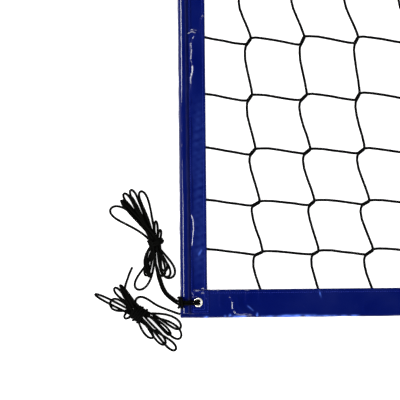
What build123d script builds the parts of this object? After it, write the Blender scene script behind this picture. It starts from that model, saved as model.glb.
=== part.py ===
from build123d import *
import math
import os

# A full-size volleyball net lying flat, without poles.
# X runs along the net, Y from the bottom band to the top band, Z up from the ground.
# The origin is the middle of the net on the ground. All sizes are millimetres.
# "Corner" coordinates are measured from the net's lower left outer corner.

# ---- the net as a whole ----
NET_LENGTH = 9500.0
NET_HEIGHT = 1000.0
SIDE_WIDTH = 50.0
BOTTOM_WIDTH = 52.0
TOP_WIDTH = 70.0
VINYL = 0.8
TWINE = 4.0
SLOT_GAP = 0.2
SLOT = TWINE + SLOT_GAP
BAND_THICK = SLOT + 2 * VINYL
MID_Z = BAND_THICK / 2

# ---- netting: square mesh that hangs a little askew ----
SELVAGE_INSET = 10.0
COLUMNS = 94
ROWS = 9
FIRST_COLUMN = 131.0
COLUMN_PITCH = (NET_LENGTH - 2 * FIRST_COLUMN) / (COLUMNS - 1)
MIDDLE_ROW = 5
MIDDLE_ROW_Y = 508.0
LOWER_PITCH = 106.2
LOWER_SAG = 2.15
UPPER_PITCH = 91.0
ROW_SWAY = (28.0, 21.0, 14.5, 6.5, 0.5, -1.0, -18.0, -16.0, -11.0, -5.0, 0.0)
SWAY_PERIOD = 24.0
SWAY_PEAK_COLUMN = 2
EDGE_CALM = 0.3
END_RISE = 10.0

# ---- ropes held in the long bands ----
ROPE_R = 2.0
BOTTOM_ROPE_INSET = 7.0
TOP_ROPE_INSET = 5.0

# ---- rod sleeves and their rods ----
SLEEVE_R = 9.04
SLEEVE_X = 9.6
SLEEVE_CENTRE_Z = 4.96
SLEEVE_END = 8.0
ROD_R = 2.5
ROD_END = 12.0
CAP_R = 3.0
CAP_LENGTH = 14.0
CAP_WALL = 1.0
ROD_GAP = 0.3
ROD_Z = BAND_THICK + VINYL + CAP_R + ROD_GAP

# ---- corners: patch, eyelet, back washer ----
PATCH_X0 = 20.4
PATCH_X1 = 54.0
PATCH_INSET = 8.0
EYELET_X = 33.0
EYELET_Y_BOTTOM = 29.0
EYELET_Y_TOP = 35.0
EYELET_HOLE_R = 5.0
EYELET_BARREL_R = 5.5
EYELET_FLANGE_R = 8.6
EYELET_FLANGE = 0.8
EYELET_ROUND = 0.56
WASHER = 0.8
HOLE_GAP = 0.1

# ---- seams ----
SEAM_WIDTH = 0.8
SEAM_RISE = 0.3
SEAM_INSET = 6.0
SEAM_END_GAP = 1.0
SIDE_SEAM_X = 45.0
SLEEVE_SEAM_X = 19.6
BOX_SEAM_INSET = 3.0

# ---- tie cord at the lower left corner ----
CORD_R = 2.0
STRAND = 2.05
NOTCH_LENGTH = 43.0
NOTCH_WIDTH = 24.0
NOTCH_TOP = VINYL + SLOT
HITCH_X = 34.5
HITCH_MEET_Z = 5.6
EYELET_BEND = 3.4
ARC_SHARE = 0.45

# ---- cutting tools: how far one reaches past what it cuts, and one longer than any stack ----
OVERCUT = 1.0
CUTTER = 4 * BAND_THICK

# The front strands, from the eyelet over the rod sleeve to the ground, corner coordinates.
FRONT_LOW = [
    (HITCH_X, EYELET_Y_BOTTOM - STRAND, HITCH_MEET_Z),
    (HITCH_X, EYELET_Y_BOTTOM - STRAND, 9.8),
    (23.5, 26.95, 9.7),
    (16.2, 26.95, 16.3),
    (3.5, 26.95, 16.3),
    (-3.4, 27.0, 9.0),
    (-5.9, 27.5, 4.4),
    (-10.3, 29.3, 2.0),
    (-14.9, 32.9, 2.0),
]
FRONT_HIGH = [
    (HITCH_X, EYELET_Y_BOTTOM + STRAND, HITCH_MEET_Z),
    (HITCH_X, EYELET_Y_BOTTOM + STRAND, 9.8),
    (23.5, 31.05, 9.7),
    (16.2, 31.05, 16.3),
    (3.5, 31.05, 16.3),
    (-3.0, 31.2, 9.0),
    (-4.6, 31.7, 4.4),
    (-7.7, 32.7, 2.0),
    (-12.2, 36.2, 2.0),
]
# The loop that passes under the band and arches over the two strands at its edge.
BIGHT = [
    (HITCH_X, EYELET_Y_BOTTOM - STRAND, HITCH_MEET_Z),
    (HITCH_X, EYELET_Y_BOTTOM - STRAND, 2.0),
    (22.0, 26.0, 2.0),
    (8.0, 22.0, 2.0),
    (-3.3, 20.6, 2.0),
    (-3.3, 20.5, 10.5),
    (0.0, 21.5, 19.2),
    (0.0, 36.5, 19.2),
    (-3.3, 37.5, 10.5),
    (-3.3, 37.4, 2.0),
    (8.0, 36.0, 2.0),
    (22.0, 32.0, 2.0),
    (HITCH_X, EYELET_Y_BOTTOM + STRAND, 2.0),
    (HITCH_X, EYELET_Y_BOTTOM + STRAND, HITCH_MEET_Z),
]
LEAD_LOW = [
    (-14.9, 32.9, 2.0),
    (-19.4, 36.4, 2.0),
    (-27.6, 43.6, 2.0),
    (-33.9, 54.1, 2.0),
    (-38.0, 66.3, 2.0),
    (-42.0, 79.4, 2.4),
]
LEAD_HIGH = [
    (-12.2, 36.2, 2.0),
    (-16.6, 39.6, 2.0),
    (-24.4, 46.4, 2.0),
    (-30.1, 55.9, 2.0),
    (-34.0, 67.7, 2.0),
    (-38.0, 80.6, 2.4),
]
# Outer shape of the figure-of-eight hank of the tie cord, clockwise from its big side loop.
TIE_HANK = [
    (-129, 202), (-124, 210), (-114, 213), (-109, 221), (-103, 232), (-89, 241), (-74, 239),
    (-62, 230), (-54, 200), (-44, 176), (-33, 168), (-26, 140), (-17, 113), (-6, 86),
    (-10, 74), (-31, 68), (-50, 71), (-56, 60), (-67, 50), (-77, 49), (-87, 58),
    (-90, 74), (-81, 95), (-68, 113), (-68, 146), (-92, 160), (-120, 181), (-129, 194),
]
TIE_HANK_HEIGHT = 11.0
TIE_WAIST = (-43.0, 141.0)
TIE_WAIST_AXIS = (0.2, -0.98)
TIE_WAIST_SIZE = (15.5, 9.5, 20.0)

# ---- tail of the bottom rope ----
ROPE_TAIL = [
    (0.0, 7.0, 2.9),
    (-10.0, 10.3, 2.5),
    (-24.0, 15.7, 2.0),
    (-37.0, 21.0, 2.0),
    (-46.0, 25.5, 2.0),
    (-55.0, 32.0, 2.0),
    (-63.5, 37.5, 2.0),
    (-72.5, 40.0, 2.0),
    (-80.0, 37.0, 2.2),
    (-83.0, 29.5, 3.5),
    (-80.5, 22.5, 5.0),
]
ROPE_END = [
    (-102.0, 50.0, 5.5),
    (-101.0, 61.0, 4.6),
    (-96.0, 73.0, 2.8),
    (-93.0, 84.0, 2.1),
    (-87.5, 95.0, 2.0),
]
ROPE_HANK = [
    (-159, 45), (-153, 50), (-132, 45), (-125, 59), (-108, 66), (-100, 54), (-89, 36),
    (-81, 30), (-62, 21), (-52, 9), (-37, 9), (-15, 4), (0, -5), (4, -14), (4, -36),
    (-1, -43), (-7, -54), (-15, -62), (-33, -52), (-50, -39), (-61, -33), (-69, -20),
    (-73, -10), (-88, -6), (-101, 1), (-110, 12), (-127, 22), (-133, 31), (-157, 41),
]
ROPE_HANK_HEIGHT = 10.0
ROPE_WAIST = (-77.0, 9.0)
ROPE_WAIST_AXIS = (0.83, -0.55)
ROPE_WAIST_SIZE = (18.0, 9.0, 22.0)

CORNERS = {
    "low_left": (-1, -1, BOTTOM_WIDTH, EYELET_Y_BOTTOM),
    "low_right": (1, -1, BOTTOM_WIDTH, EYELET_Y_BOTTOM),
    "top_left": (-1, 1, TOP_WIDTH, EYELET_Y_TOP),
    "top_right": (1, 1, TOP_WIDTH, EYELET_Y_TOP),
}


def from_corner(x, y, z=0.0, side=-1, end=-1):
    """A point given inwards from one outer corner of the net, in the net's own frame."""
    return Vector(side * (NET_LENGTH / 2 - x), end * (NET_HEIGHT / 2 - y), z)


def block(x0, x1, y0, y1, z0, z1):
    """A box between two corners given in the net's own frame."""
    centre = Vector((x0 + x1) / 2, (y0 + y1) / 2, (z0 + z1) / 2)
    return Pos(centre) * Box(abs(x1 - x0), abs(y1 - y0), abs(z1 - z0))


# ---------------------------------------------------------------- bands


def folded_strip(width, length, start, across, along):
    """Vinyl folded double: fold along the outer edge, open towards the netting and at both ends."""
    fold = BAND_THICK / 2
    inner = fold - VINYL
    outside = Pos(fold, 0) * Circle(fold) + Pos((fold + width) / 2, 0) * Rectangle(width - fold, 2 * fold)
    slot_length = width - fold + 2 * OVERCUT
    slot = Pos((fold + width) / 2 + OVERCUT, 0) * Rectangle(slot_length, 2 * inner)
    inside = Pos(fold, 0) * Circle(inner) + slot
    plane = Plane(origin=start, x_dir=across, z_dir=along)
    return extrude(plane * (outside - inside), length)


def eyelet_point(name, z=0.0):
    side, end, _, eyelet_y = CORNERS[name]
    return from_corner(EYELET_X, eyelet_y, z, side, end)


def punch(shape, name, with_washer):
    """The hole for a corner eyelet, and the seat that its back washer is pressed into."""
    hole = Pos(eyelet_point(name, MID_Z)) * Cylinder(EYELET_BARREL_R + HOLE_GAP, CUTTER)
    shape = shape - hole
    if with_washer:
        seat = Pos(eyelet_point(name, 0)) * Cylinder(EYELET_FLANGE_R + HOLE_GAP, 2 * WASHER)
        shape = shape - seat
    return shape


def make_bottom_band():
    start = from_corner(0, 0, MID_Z)
    band = folded_strip(BOTTOM_WIDTH, NET_LENGTH, start, (0, 1, 0), (1, 0, 0))
    band = punch(band, "low_left", False)
    band = punch(band, "low_right", True)
    # the underside is pushed open where the hitched tie cord runs back to the eyelet
    corner = from_corner(0, EYELET_Y_BOTTOM)
    half = NOTCH_WIDTH / 2
    inner_end = corner.X + NOTCH_LENGTH
    notch = block(corner.X - OVERCUT, inner_end, corner.Y - half, corner.Y + half, -OVERCUT, NOTCH_TOP)
    return band - notch


def make_top_band():
    start = from_corner(0, 0, MID_Z, side=1, end=1)
    band = folded_strip(TOP_WIDTH, NET_LENGTH, start, (0, -1, 0), (-1, 0, 0))
    band = punch(band, "top_left", True)
    return punch(band, "top_right", True)


def make_side_band(side):
    length = NET_HEIGHT - BOTTOM_WIDTH - TOP_WIDTH
    start_y = TOP_WIDTH if side < 0 else BOTTOM_WIDTH
    start = from_corner(0, start_y, MID_Z, side=side, end=-side)
    return folded_strip(SIDE_WIDTH, length, start, (-side, 0, 0), (0, side, 0))


# ---------------------------------------------------------------- netting


def row_y(row):
    """Height of a row of joints above the net's lower edge; row 0 and the last are selvages."""
    if row == 0:
        return BOTTOM_WIDTH - SELVAGE_INSET
    if row == ROWS + 1:
        return NET_HEIGHT - TOP_WIDTH + SELVAGE_INSET
    step = row - MIDDLE_ROW
    if step > 0:
        return MIDDLE_ROW_Y + UPPER_PITCH * step
    return MIDDLE_ROW_Y + LOWER_PITCH * step + LOWER_SAG * step * step


def column_x(column, row):
    """Distance of a joint from the net's left edge; the columns sway sideways down the net."""
    if column == 0:
        return SIDE_WIDTH - SELVAGE_INSET
    if column == COLUMNS + 1:
        return NET_LENGTH - SIDE_WIDTH + SELVAGE_INSET
    wave = math.cos(2 * math.pi * (column - SWAY_PEAK_COLUMN) / SWAY_PERIOD)
    sway = ROW_SWAY[row] * wave * (1 - EDGE_CALM / column**2)
    return FIRST_COLUMN + COLUMN_PITCH * (column - 1) + sway


def joint(column, row):
    """A joint of the netting in corner coordinates."""
    y = row_y(row)
    if 0 < row <= ROWS and column == 0:
        y += END_RISE
    if 0 < row <= ROWS and column == COLUMNS + 1:
        y -= END_RISE
    return column_x(column, row), y


def mesh_opening(column, row):
    """The outline of one mesh opening, half a twine in from its four joints."""
    half = TWINE / 2
    outline = []
    for dc, dr in ((0, 0), (1, 0), (1, 1), (0, 1)):
        x, y = joint(column + dc, row + dr)
        shift_x = half if dc == 0 else -half
        shift_y = half if dr == 0 else -half
        outline.append(from_corner(x + shift_x, y + shift_y))
    return Wire.make_polygon(outline)


def make_netting():
    """The whole netting as one plate with its mesh openings, selvages included."""
    half = TWINE / 2
    left = column_x(0, 0) - half
    right = column_x(COLUMNS + 1, 0) + half
    low = row_y(0) - half
    high = row_y(ROWS + 1) + half
    rim = [(left, low), (right, low), (right, high), (left, high)]
    outline = Wire.make_polygon([from_corner(x, y) for x, y in rim])
    openings = [mesh_opening(c, r) for c in range(COLUMNS + 1) for r in range(ROWS + 1)]
    sheet = Face(outline, openings)
    plate = Solid.extrude(sheet, Vector(0, 0, TWINE))
    return Pos(0, 0, MID_Z - TWINE / 2) * plate


# ---------------------------------------------------------------- ropes, sleeves, rods


def make_held_rope(inset, end):
    """A rope held along the fold of a long band, from one end of the net to the other."""
    start = from_corner(0, inset, MID_Z, side=-1, end=end)
    return extrude(Plane(origin=start, z_dir=(1, 0, 0)) * Circle(ROPE_R), NET_LENGTH)


def arched_section(radius, floor_z):
    """The part of a circle about the sleeve's centre that lies above a level."""
    disc = Pos(0, SLEEVE_CENTRE_Z) * Circle(radius)
    keep = Pos(0, floor_z + radius) * Rectangle(4 * radius, 2 * radius)
    return disc & keep


def make_sleeve(side):
    """The arched vinyl tube along a side's outer edge, open at both ends."""
    wall = arched_section(SLEEVE_R, BAND_THICK)
    wall -= arched_section(SLEEVE_R - VINYL, BAND_THICK + VINYL)
    start = from_corner(SLEEVE_X, SLEEVE_END, 0, side=side, end=1)
    plane = Plane(origin=start, x_dir=(1, 0, 0), z_dir=(0, -1, 0))
    return extrude(plane * wall, NET_HEIGHT - 2 * SLEEVE_END)


def rod_piece(side, radius, y0, y1):
    """A round bar on a sleeve's axis between two distances from the lower edge."""
    start = from_corner(SLEEVE_X, y0, ROD_Z, side=side, end=-1)
    return extrude(Plane(origin=start, z_dir=(0, 1, 0)) * Circle(radius), y1 - y0)


def make_rod(side):
    return rod_piece(side, ROD_R, ROD_END, NET_HEIGHT - ROD_END)


def make_cap(side, low):
    """A push-on end cap with a closed end."""
    y0 = ROD_END - CAP_WALL if low else NET_HEIGHT - ROD_END + CAP_WALL - CAP_LENGTH
    cap = rod_piece(side, CAP_R, y0, y0 + CAP_LENGTH)
    return cap - rod_piece(side, ROD_R, ROD_END, NET_HEIGHT - ROD_END)


# ---------------------------------------------------------------- corners


def patch_limits(name):
    side, end, width, _ = CORNERS[name]
    low = from_corner(PATCH_X0, PATCH_INSET, 0, side, end)
    high = from_corner(PATCH_X1, width, 0, side, end)
    return sorted((low.X, high.X)), sorted((low.Y, high.Y))


def make_patch(name):
    (x0, x1), (y0, y1) = patch_limits(name)
    patch = block(x0, x1, y0, y1, BAND_THICK, BAND_THICK + VINYL)
    return punch(patch, name, False)


def make_box_seam(name):
    """The rectangle of stitching that holds a patch."""
    (x0, x1), (y0, y1) = patch_limits(name)
    level = BAND_THICK + VINYL
    inset = BOX_SEAM_INSET
    outer = block(x0 + inset, x1 - inset, y0 + inset, y1 - inset, level, level + SEAM_RISE)
    inset += SEAM_WIDTH
    low, high = level - OVERCUT, level + OVERCUT
    inner = block(x0 + inset, x1 - inset, y0 + inset, y1 - inset, low, high)
    return outer - inner


def make_eyelet(name):
    """The front half of an eyelet: a domed flange with its barrel through the layers."""
    top = BAND_THICK + VINYL + EYELET_FLANGE
    bottom = NOTCH_TOP - WASHER if name == "low_left" else 0.0
    flange = Cylinder(EYELET_FLANGE_R, EYELET_FLANGE, align=(Align.CENTER, Align.CENTER, Align.MAX))
    barrel = Cylinder(EYELET_BARREL_R, top - bottom, align=(Align.CENTER, Align.CENTER, Align.MAX))
    body = flange + barrel
    body = fillet(body.edges().group_by(Axis.Z)[-1], EYELET_ROUND)
    bore = Cylinder(EYELET_HOLE_R, CUTTER)
    return Pos(eyelet_point(name, top)) * (body - bore)


def make_washer(name):
    """The back ring that the eyelet's barrel is rolled over."""
    bottom = NOTCH_TOP - WASHER if name == "low_left" else 0.0
    ring = Cylinder(EYELET_FLANGE_R, WASHER) - Cylinder(EYELET_BARREL_R, CUTTER)
    return Pos(eyelet_point(name, bottom + WASHER / 2)) * ring


# ---------------------------------------------------------------- seams


def make_long_seam(end, width):
    """The stitching along the inner edge of a long band, between the corner patches."""
    reach = NET_LENGTH / 2 - PATCH_X1 - SEAM_END_GAP
    y = from_corner(0, width - SEAM_INSET, 0, end=end).Y
    half = SEAM_WIDTH / 2
    return block(-reach, reach, y - half, y + half, BAND_THICK, BAND_THICK + SEAM_RISE)


def make_side_seam(side, inset, end_gap_low, end_gap_top):
    x = from_corner(inset, 0, side=side).X
    half = SEAM_WIDTH / 2
    low = from_corner(0, end_gap_low).Y
    high = from_corner(0, end_gap_top, end=1).Y
    return block(x - half, x + half, low, high, BAND_THICK, BAND_THICK + SEAM_RISE)


# ---------------------------------------------------------------- cords


def bend_radii(route):
    """The largest arc that the two runs at each turn leave room for, or the eyelet's own bend."""
    radii = []
    for before, here, after in zip(route, route[1:], route[2:]):
        first = Vector(*here) - Vector(*before)
        second = Vector(*after) - Vector(*here)
        turn = math.radians(first.get_angle(second))
        shorter = min(first.length, second.length)
        at_eyelet = here[0] == HITCH_X
        radii.append(EYELET_BEND if at_eyelet else ARC_SHARE * shorter / math.tan(turn / 2))
    return radii


def tube(name, route, radius):
    """A round cord along straight runs joined by tangent arcs, given in corner coordinates."""
    radii = bend_radii(route)
    path = FilletPolyline(*[from_corner(*point) for point in route], radius=radii)
    cord = sweep((path ^ 0) * Circle(radius), path=path)
    share = cord.volume / (math.pi * radius**2 * path.length)
    print(name, "length", round(path.length), "volume share", round(share, 3))
    print(name, "radii", [round(r) for r in radii])
    return cord


def make_hank(outline, height, waist, axis, size):
    """A hank as one solid: its spread loops, and the thicker wrapped waist."""
    corner = from_corner(0, 0)
    ground = Polyline(*[corner + Vector(x, y) for x, y in outline], close=True)
    loops = extrude(make_face(ground), height)
    half_width, half_height, length = size
    centre = corner + Vector(waist[0], waist[1], half_height)
    plane = Plane(origin=centre, x_dir=(-axis[1], axis[0], 0), z_dir=(axis[0], axis[1], 0))
    wraps = extrude(plane * Ellipse(half_width, half_height), length / 2, both=True)
    return loops + wraps


def make_hitch():
    """The cow hitch through the corner eyelet: two front strands and the loop round the edge."""
    pieces = [
        tube("hitch front low", FRONT_LOW, CORD_R),
        tube("hitch front high", FRONT_HIGH, CORD_R),
        tube("hitch bight", BIGHT, CORD_R),
    ]
    return Compound(children=pieces)


# ---------------------------------------------------------------- the whole net


def all_parts():
    parts = {
        "bottom_band": make_bottom_band(),
        "top_band": make_top_band(),
        "left_band": make_side_band(-1),
        "right_band": make_side_band(1),
        "netting": make_netting(),
        "bottom_rope": make_held_rope(BOTTOM_ROPE_INSET, -1),
        "headline_rope": make_held_rope(TOP_ROPE_INSET, 1),
        "bottom_seam": make_long_seam(-1, BOTTOM_WIDTH),
        "top_seam": make_long_seam(1, TOP_WIDTH),
        "tie_hitch": make_hitch(),
        "tie_lead_low": tube("tie lead low", LEAD_LOW, CORD_R),
        "tie_lead_high": tube("tie lead high", LEAD_HIGH, CORD_R),
        "tie_hank": make_hank(TIE_HANK, TIE_HANK_HEIGHT, TIE_WAIST, TIE_WAIST_AXIS, TIE_WAIST_SIZE),
        "rope_tail": tube("rope tail", ROPE_TAIL, ROPE_R),
        "rope_end": tube("rope end", ROPE_END, ROPE_R),
        "rope_hank": make_hank(ROPE_HANK, ROPE_HANK_HEIGHT, ROPE_WAIST, ROPE_WAIST_AXIS, ROPE_WAIST_SIZE),
    }
    for label, side in (("left", -1), ("right", 1)):
        parts[label + "_sleeve"] = make_sleeve(side)
        parts[label + "_rod"] = make_rod(side)
        parts[label + "_rod_cap_low"] = make_cap(side, True)
        parts[label + "_rod_cap_top"] = make_cap(side, False)
        parts[label + "_seam"] = make_side_seam(side, SIDE_SEAM_X, BOTTOM_WIDTH, TOP_WIDTH)
        parts[label + "_sleeve_seam"] = make_side_seam(side, SLEEVE_SEAM_X, SLEEVE_END, SLEEVE_END)
    for name in CORNERS:
        parts["patch_" + name] = make_patch(name)
        parts["box_seam_" + name] = make_box_seam(name)
        parts["eyelet_" + name] = make_eyelet(name)
        parts["washer_" + name] = make_washer(name)
    return parts


os.makedirs("parts", exist_ok=True)
for node, shape in all_parts().items():
    export_step(shape, f"parts/{node}.step")
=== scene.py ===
import bpy
import math
import numpy as np
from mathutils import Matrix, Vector


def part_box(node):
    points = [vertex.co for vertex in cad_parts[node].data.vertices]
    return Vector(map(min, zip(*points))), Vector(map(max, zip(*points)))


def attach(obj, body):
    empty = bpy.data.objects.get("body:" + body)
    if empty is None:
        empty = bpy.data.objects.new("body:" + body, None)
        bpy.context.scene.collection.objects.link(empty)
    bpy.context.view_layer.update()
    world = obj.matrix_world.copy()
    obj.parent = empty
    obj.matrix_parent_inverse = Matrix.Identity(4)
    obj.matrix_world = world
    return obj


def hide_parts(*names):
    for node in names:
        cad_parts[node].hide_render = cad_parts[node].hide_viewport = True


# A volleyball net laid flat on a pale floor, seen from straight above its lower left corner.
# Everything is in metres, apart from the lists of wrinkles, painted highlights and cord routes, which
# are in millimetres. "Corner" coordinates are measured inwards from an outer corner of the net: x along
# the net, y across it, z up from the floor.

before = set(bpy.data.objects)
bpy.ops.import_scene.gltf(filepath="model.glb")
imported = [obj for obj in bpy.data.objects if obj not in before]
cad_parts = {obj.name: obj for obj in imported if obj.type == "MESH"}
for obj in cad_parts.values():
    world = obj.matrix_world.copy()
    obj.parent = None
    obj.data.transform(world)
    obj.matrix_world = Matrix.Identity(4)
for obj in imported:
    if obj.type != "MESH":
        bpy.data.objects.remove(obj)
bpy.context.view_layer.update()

BAND_LOW, BAND_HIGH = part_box("bottom_band")
LENGTH = BAND_HIGH.x - BAND_LOW.x
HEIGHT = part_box("top_band")[1].y - BAND_LOW.y
BAND_TOP = BAND_HIGH.z
SIDE_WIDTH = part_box("left_band")[1].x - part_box("left_band")[0].x
BOTTOM_WIDTH = BAND_HIGH.y - BAND_LOW.y
TOP_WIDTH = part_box("top_band")[1].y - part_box("top_band")[0].y
PLY = 0.0008
TWINE_R = 0.0024
NET_Z = 0.0029
CORD_D = 0.0046


def at(x, y, z=0.0, side=-1, end=-1):
    """Corner coordinates to the frame, for the corner on that side and at that end."""
    return Vector((side * (LENGTH / 2 - x), end * (HEIGHT / 2 - y), z))


# ---------------------------------------------------------------- materials

FLOOR_GLOW = 0.90


def grey(level):
    return (level, level, level)


def set_inputs(node, **values):
    """Set a node's inputs by name, with an underscore for each space."""
    for key, value in values.items():
        node.inputs[key.replace("_", " ")].default_value = value


def new_material(name, colour, roughness, metallic=0.0):
    mat = bpy.data.materials.new(name)
    mat.use_nodes = True
    shader = mat.node_tree.nodes["Principled BSDF"]
    set_inputs(shader, Base_Color=(*colour, 1.0), Roughness=roughness, Metallic=metallic)
    return mat, shader


def add_node(mat, kind, **inputs):
    node = mat.node_tree.nodes.new(kind)
    set_inputs(node, **inputs)
    return node


def link(mat, source, out, target, into):
    mat.node_tree.links.new(source.outputs[out], target.inputs[into])


def object_noise(mat, scale, detail=3.0, roughness=0.5, stretch=grey(1.0)):
    """Noise in object space, so that it holds still on the piece whatever the view."""
    coords = add_node(mat, "ShaderNodeTexCoord")
    mapping = add_node(mat, "ShaderNodeMapping", Scale=stretch)
    noise = add_node(mat, "ShaderNodeTexNoise", Scale=scale, Detail=detail, Roughness=roughness)
    link(mat, coords, "Object", mapping, "Vector")
    link(mat, mapping, "Vector", noise, "Vector")
    return noise


def ramp(mat, source, out, stops):
    node = add_node(mat, "ShaderNodeValToRGB")
    elements = node.color_ramp.elements
    while len(elements) < len(stops):
        elements.new(0.5)
    for element, (place, colour) in zip(elements, stops):
        element.position = place
        element.color = (*colour, 1.0)
    link(mat, source, out, node, "Fac")
    return node


def bump(mat, shader, source, out, strength, distance, normal=None):
    node = add_node(mat, "ShaderNodeBump", Strength=strength, Distance=distance)
    link(mat, source, out, node, "Height")
    if normal is not None:
        link(mat, normal, "Normal", node, "Normal")
    link(mat, node, "Normal", shader, "Normal")
    return node


def make_vinyl():
    """Glossy PVC-coated band fabric: deep blue, patchy gloss, a faint scrim under the coat."""
    mat, shader = new_material("vinyl", (0.004, 0.010, 0.125), 0.2)
    tone = object_noise(mat, 14.0, detail=2.0)
    colours = ramp(mat, tone, "Fac", [
        (0.3, (0.0003, 0.0022, 0.052)), (0.55, (0.0012, 0.0038, 0.056)),
        (0.8, (0.0030, 0.0062, 0.061)),
    ])
    # Painted highlight and reflection: a per-vertex attribute mixes in a bright blue where the folded
    # edge and some wrinkles catch the light.
    painted_sheen = add_node(mat, "ShaderNodeAttribute")
    painted_sheen.attribute_name = "painted_sheen"
    mix = add_node(mat, "ShaderNodeMix")
    mix.data_type = "RGBA"
    mix.inputs["B"].default_value = (0.110, 0.230, 0.900, 1.0)
    link(mat, colours, "Color", mix, "A")
    link(mat, painted_sheen, "Fac", mix, "Factor")
    link(mat, mix, "Result", shader, "Base Color")
    patches = object_noise(mat, 60.0, detail=3.0)
    gloss = ramp(mat, patches, "Fac", [(0.35, grey(0.16)), (0.7, grey(0.28))])
    link(mat, gloss, "Color", shader, "Roughness")
    scrim = object_noise(mat, 900.0, detail=1.0)
    soft = object_noise(mat, 90.0, detail=2.0)
    first = add_node(mat, "ShaderNodeBump", Strength=0.12, Distance=0.0005)
    link(mat, soft, "Fac", first, "Height")
    bump(mat, shader, scrim, "Fac", 0.12, 0.0001, first)
    set_inputs(shader, Specular_IOR_Level=0.03, Coat_Weight=0.34, Coat_Roughness=0.06)
    return mat


def make_toned(name, colour, roughness, noise, tones, relief, specular=0.5):
    """A material whose colour wanders between tones, with a fine relief of the same noise."""
    mat, shader = new_material(name, colour, roughness)
    grain = object_noise(mat, *noise)
    link(mat, ramp(mat, grain, "Fac", tones), "Color", shader, "Base Color")
    bump(mat, shader, grain, "Fac", *relief)
    set_inputs(shader, Specular_IOR_Level=specular)
    return mat


def make_fibre(name, colour, scale, roughness):
    """Matt black plied or braided fibre: short raised strands, and slightly paler high spots as a
    painted highlight.
    """
    # Painted highlight: the paler tone falls on the raised tops of the strands.
    pale = tuple(c * 2.2 for c in colour)
    tones = [(0.4, colour), (0.75, pale)]
    return make_toned(name, colour, roughness, (scale, 2.0, 0.6), tones, (0.6, 0.0004), 0.02)


def make_metal():
    mat, shader = new_material("eyelet metal", (0.74, 0.72, 0.60), 0.30, 0.45)
    marks = object_noise(mat, 700.0, detail=2.0)
    rough = ramp(mat, marks, "Fac", [(0.3, grey(0.2)), (0.8, grey(0.4))])
    link(mat, rough, "Color", shader, "Roughness")
    bump(mat, shader, marks, "Fac", 0.1, 0.0001)
    return mat


def make_floor_material():
    """White that glows by itself, so that shadows barely darken it."""
    mat, shader = new_material("floor", grey(0.93), 0.85)
    faint = object_noise(mat, 3.0, detail=2.0)
    tones = ramp(mat, faint, "Fac", [(0.3, grey(0.445)), (0.8, grey(0.455))])
    link(mat, tones, "Color", shader, "Base Color")
    white = (*grey(1.0), 1.0)
    set_inputs(shader, Specular_IOR_Level=0.1, Emission_Color=white, Emission_Strength=FLOOR_GLOW)
    return mat


VINYL = make_vinyl()
TWINE = make_fibre("net twine", grey(0.0008), 1300.0, 0.8)
CORD = make_fibre("tie cord", (0.0008, 0.0008, 0.0007), 1100.0, 0.75)
METAL = make_metal()
THREAD = make_toned(
    "thread", (0.010, 0.018, 0.16), 0.7, (1500.0, 1.0),
    [(0.3, (0.006, 0.012, 0.15)), (0.8, (0.025, 0.040, 0.30))], (0.4, 0.0001), 0.1)
FIBREGLASS = make_toned(
    "fibreglass", (0.62, 0.60, 0.50), 0.35, (60.0, 3.0, 0.5, (30.0, 0.6, 30.0)),
    [(0.3, (0.50, 0.48, 0.38)), (0.7, (0.70, 0.68, 0.58))], (0.15, 0.0002))
CAP_RUBBER = make_toned(
    "cap rubber", grey(0.012), 0.55, (900.0, 2.0),
    [(0.3, grey(0.008)), (0.8, grey(0.025))], (0.3, 0.0001))


# ---------------------------------------------------------------- object and mesh helpers


def add_object(name, data):
    obj = bpy.data.objects.new(name, data)
    bpy.context.scene.collection.objects.link(obj)
    return obj


def declare(obj, replaces):
    """Make an object a piece of the net, standing for the CAD nodes that it replaces."""
    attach(obj, "net")
    if replaces:
        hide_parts(*replaces)


def finish_piece(name, mesh, material, replaces=()):
    obj = add_object(name, mesh)
    mesh.materials.append(material)
    mesh.shade_smooth()
    declare(obj, replaces)
    return obj


def grid_faces(rows, columns, first=0, wrap=False):
    """Quads over a rows by columns block of vertices; wrap joins the last column to the first."""
    index = np.arange(rows * columns).reshape(rows, columns) + first
    right = np.roll(index, -1, axis=1)
    if not wrap:
        index, right = index[:, :-1], right[:, :-1]
    quads = np.stack([index[:-1], right[:-1], right[1:], index[1:]], axis=-1)
    return quads.reshape(-1, 4)


def mesh_from(name, vertices, faces):
    mesh = bpy.data.meshes.new(name)
    mesh.from_pydata(np.asarray(vertices).tolist(), [], [list(map(int, face)) for face in faces])
    mesh.update()
    return mesh


def metres(values):
    """Millimetres to metres, for a point or a list of points."""
    return [metres(value) if isinstance(value, tuple) else value / 1000 for value in values]


def to_frame(points, side=-1, end=-1):
    """An array of corner coordinates to the frame, for the corner on that side and at that end."""
    moved = np.empty_like(points)
    moved[..., 0] = side * (LENGTH / 2 - points[..., 0])
    moved[..., 1] = end * (HEIGHT / 2 - points[..., 1])
    moved[..., 2] = points[..., 2]
    return moved


def shell(name, outer, inner, side, end, wrap=False, holes=()):
    """A closed skin between two grids of points in corner coordinates, with round holes left out."""
    rows, columns = outer.shape[:2]
    count = rows * columns
    places = np.concatenate([outer.reshape(-1, 3), inner.reshape(-1, 3)])
    faces = np.concatenate([
        grid_faces(rows, columns, wrap=wrap),
        grid_faces(rows, columns, count, wrap=wrap)[:, ::-1],
    ])
    for hole_x, hole_y, hole_r in holes:
        middle = places[faces].mean(axis=1)
        faces = faces[np.hypot(middle[:, 0] - hole_x, middle[:, 1] - hole_y) > hole_r]
    index = np.arange(count).reshape(rows, columns)
    if wrap:
        rims = [index[0], index[-1][::-1]]
    else:
        rims = [np.concatenate([index[0, :-1], index[:-1, -1], index[-1, :0:-1], index[:0:-1, 0]])]
    for rim in rims:
        ahead = np.roll(rim, -1)
        faces = np.concatenate([faces, np.stack([ahead, rim, rim + count, ahead + count], axis=-1)])
    if side * end < 0:
        faces = faces[:, ::-1]
    return mesh_from(name, to_frame(places, side, end), faces)


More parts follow.
